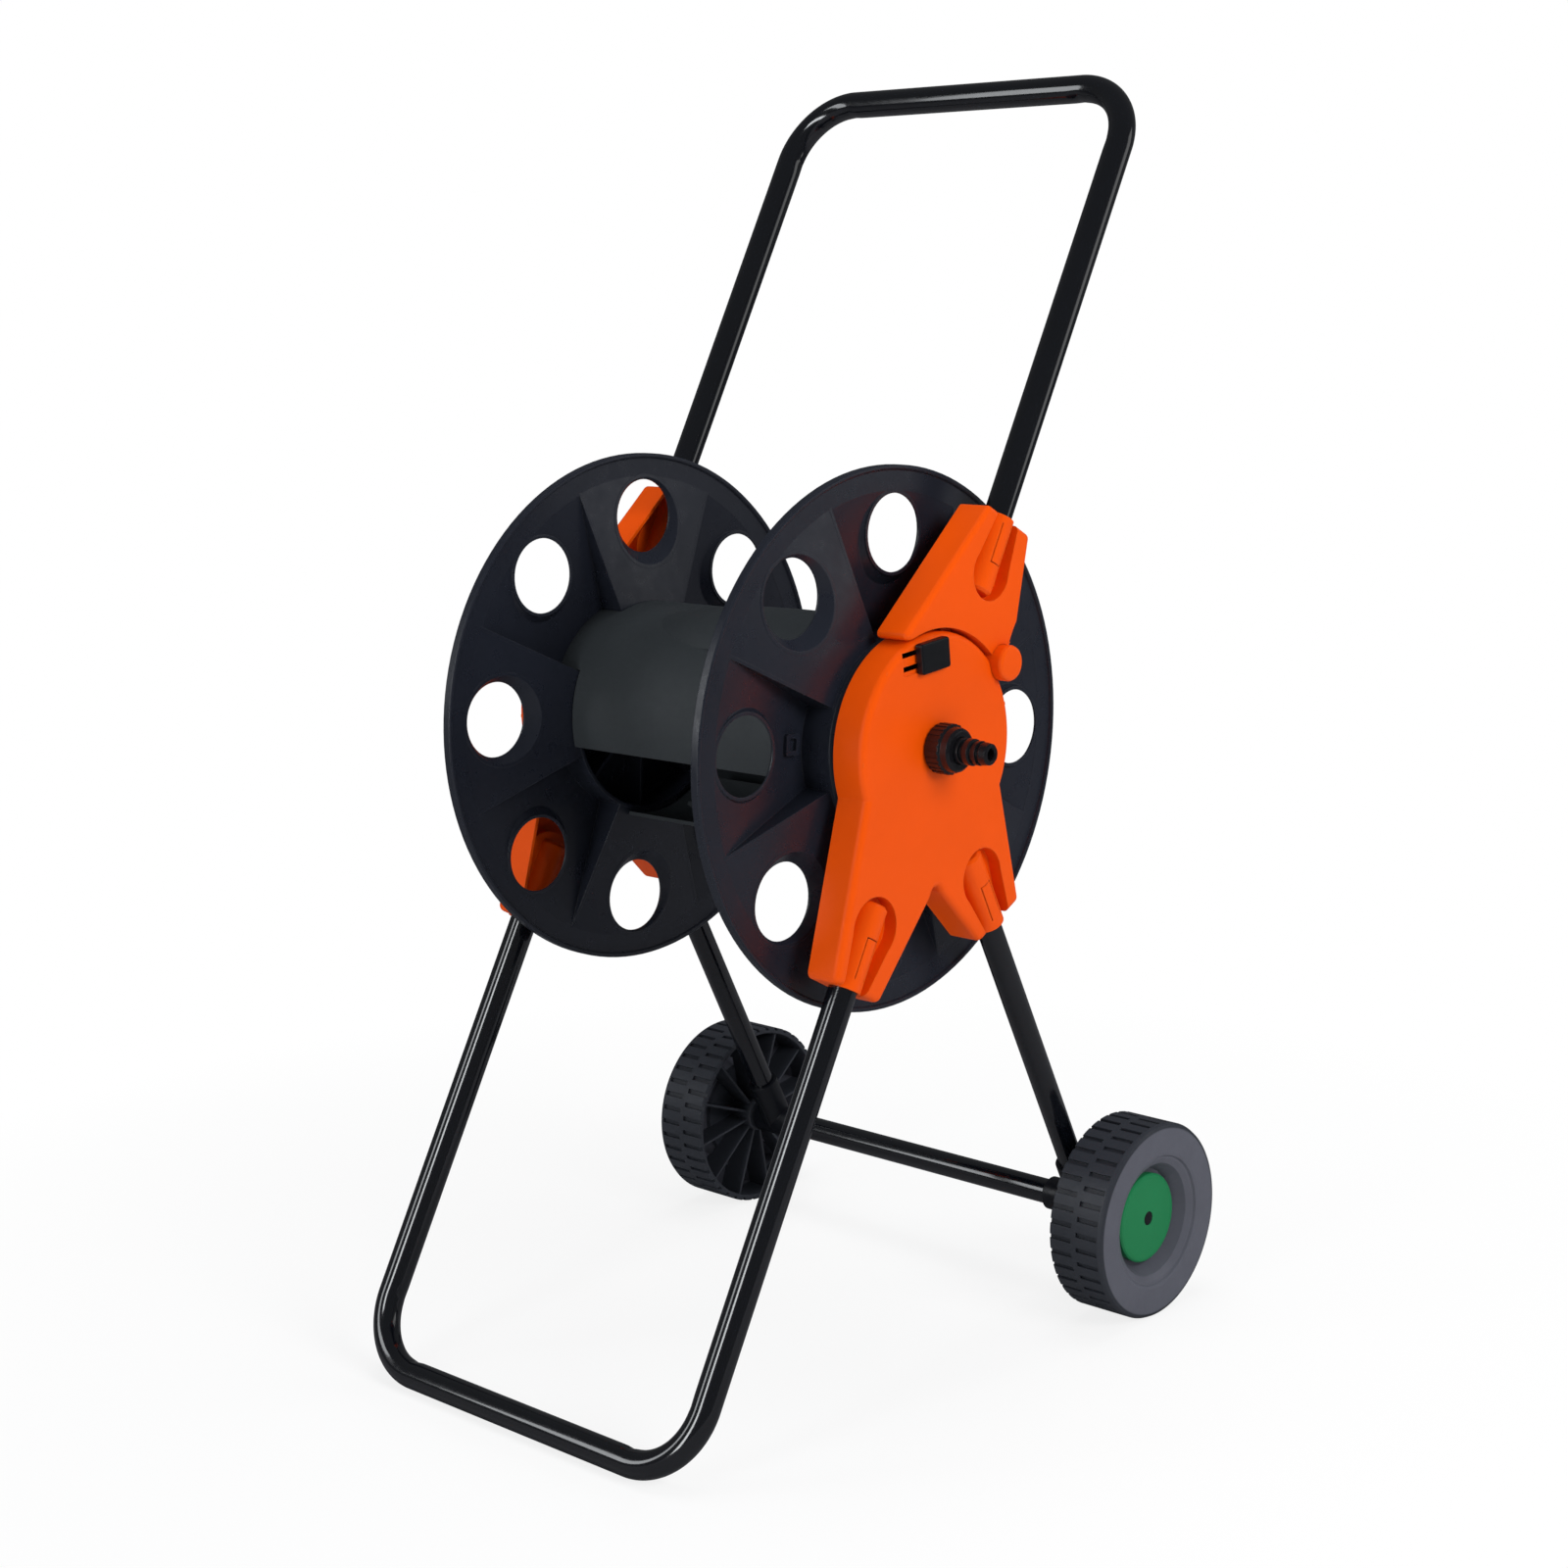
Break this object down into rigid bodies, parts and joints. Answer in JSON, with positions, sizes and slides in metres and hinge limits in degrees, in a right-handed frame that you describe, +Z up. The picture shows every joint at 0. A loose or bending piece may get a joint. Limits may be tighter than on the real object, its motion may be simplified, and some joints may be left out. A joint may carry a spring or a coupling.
{
  "type": "garden hose reel cart",
  "caption": "two-wheeled garden hose reel cart with a folding tube handle, a foot loop, a crank-wound open reel between orange side frames, and a push-on hose inlet",
  "frame": {"origin": "on the ground, in the middle of the bounding box's base", "axes": "X across the cart along the reel axle, with the hose inlet on +X and the crank on -X; Y from the foot loop to the wheels; Z up"},
  "size_m": [0.427, 0.5012, 0.861],
  "materials": {
    "tube_paint": "gloss black paint on steel tube",
    "orange_plastic": "moulded orange, fine satin grain",
    "bracket_plastic": "moulded black, satin",
    "zinc_steel": "zinc plated",
    "black_plastic": "moulded black, satin",
    "flange_plastic": "moulded charcoal, satin with fine grain",
    "drum_plastic": "moulded charcoal, matte with fine grain",
    "fitting_plastic": "moulded black, smooth",
    "bush_plastic": "natural nylon",
    "seal_rubber": "soft black",
    "tyre_plastic": "moulded dark grey, satin",
    "green_plastic": "moulded green, smooth"
  },
  "bodies": {
    "frame": {"axle_bracket_left": "bracket_plastic", "axle_bracket_right": "bracket_plastic", "axle_clip_left": "zinc_steel", "axle_clip_right": "zinc_steel", "axle_rod": "zinc_steel", "axle_tube": "tube_paint", "axle_washer_left": "zinc_steel", "axle_washer_right": "zinc_steel", "bearing_bush_left": "bush_plastic", "bearing_bush_right": "bush_plastic", "foot_tube": "tube_paint", "hose_nipple": "fitting_plastic", "inlet_nut": "fitting_plastic", "inlet_spigot": "fitting_plastic", "inlet_washer": "seal_rubber", "pivot_pin_left": "zinc_steel", "pivot_pin_right": "zinc_steel", "rear_leg_left": "tube_paint", "rear_leg_right": "tube_paint", "side_body_left": "orange_plastic", "side_body_right": "orange_plastic", "spigot_seals": "seal_rubber"},
    "handle": {"handle_tube": "tube_paint", "upper_arm_left": "orange_plastic", "upper_arm_right": "orange_plastic"},
    "latch_left": {"latch_left": "black_plastic"},
    "latch_right": {"latch_right": "black_plastic"},
    "reel": {"flange_left": "flange_plastic", "flange_right": "flange_plastic", "drum_shell_upper": "drum_plastic", "drum_shell_lower": "drum_plastic", "core_tube": "black_plastic", "outlet_elbow": "black_plastic", "crank_arm": "black_plastic", "crank_pin": "zinc_steel", "crank_screw": "zinc_steel", "hub_screws": "zinc_steel"},
    "grip": {"crank_grip": "fitting_plastic"},
    "wheel_left": {"wheel_left": "tyre_plastic", "wheel_bush_left": "bush_plastic", "hub_cap_left": "green_plastic", "cap_plug_left": "black_plastic"},
    "wheel_right": {"wheel_right": "tyre_plastic", "wheel_bush_right": "bush_plastic", "hub_cap_right": "green_plastic", "cap_plug_right": "black_plastic"}
  },
  "joints": [
    {"name": "reel_spin", "type": "hinge", "parent": "frame", "child": "reel", "pos_m": [0, 0.005, 0.4305], "axis": [1, 0, 0], "continuous": true},
    {"name": "crank_grip_spin", "type": "hinge", "parent": "reel", "child": "grip", "pos_m": [-0.196, 0.095, 0.4305], "axis": [1, 0, 0], "continuous": true},
    {"name": "wheel_left_spin", "type": "hinge", "parent": "frame", "child": "wheel_left", "pos_m": [-0.1915, 0.177, 0.07], "axis": [1, 0, 0], "continuous": true},
    {"name": "wheel_right_spin", "type": "hinge", "parent": "frame", "child": "wheel_right", "pos_m": [0.1915, 0.177, 0.07], "axis": [1, 0, 0], "continuous": true},
    {"name": "handle_fold", "type": "hinge", "parent": "frame", "child": "handle", "pos_m": [0, 0.0718, 0.4773], "axis": [-1, 0, 0], "range_deg": [0, 130]},
    {"name": "latch_left_slide", "type": "slide", "parent": "frame", "child": "latch_left", "axis": [0, -0.9963, -0.0854], "range_m": [0, 0.009]},
    {"name": "latch_right_slide", "type": "slide", "parent": "frame", "child": "latch_right", "axis": [0, -0.9963, -0.0854], "range_m": [0, 0.009]}
  ]
}
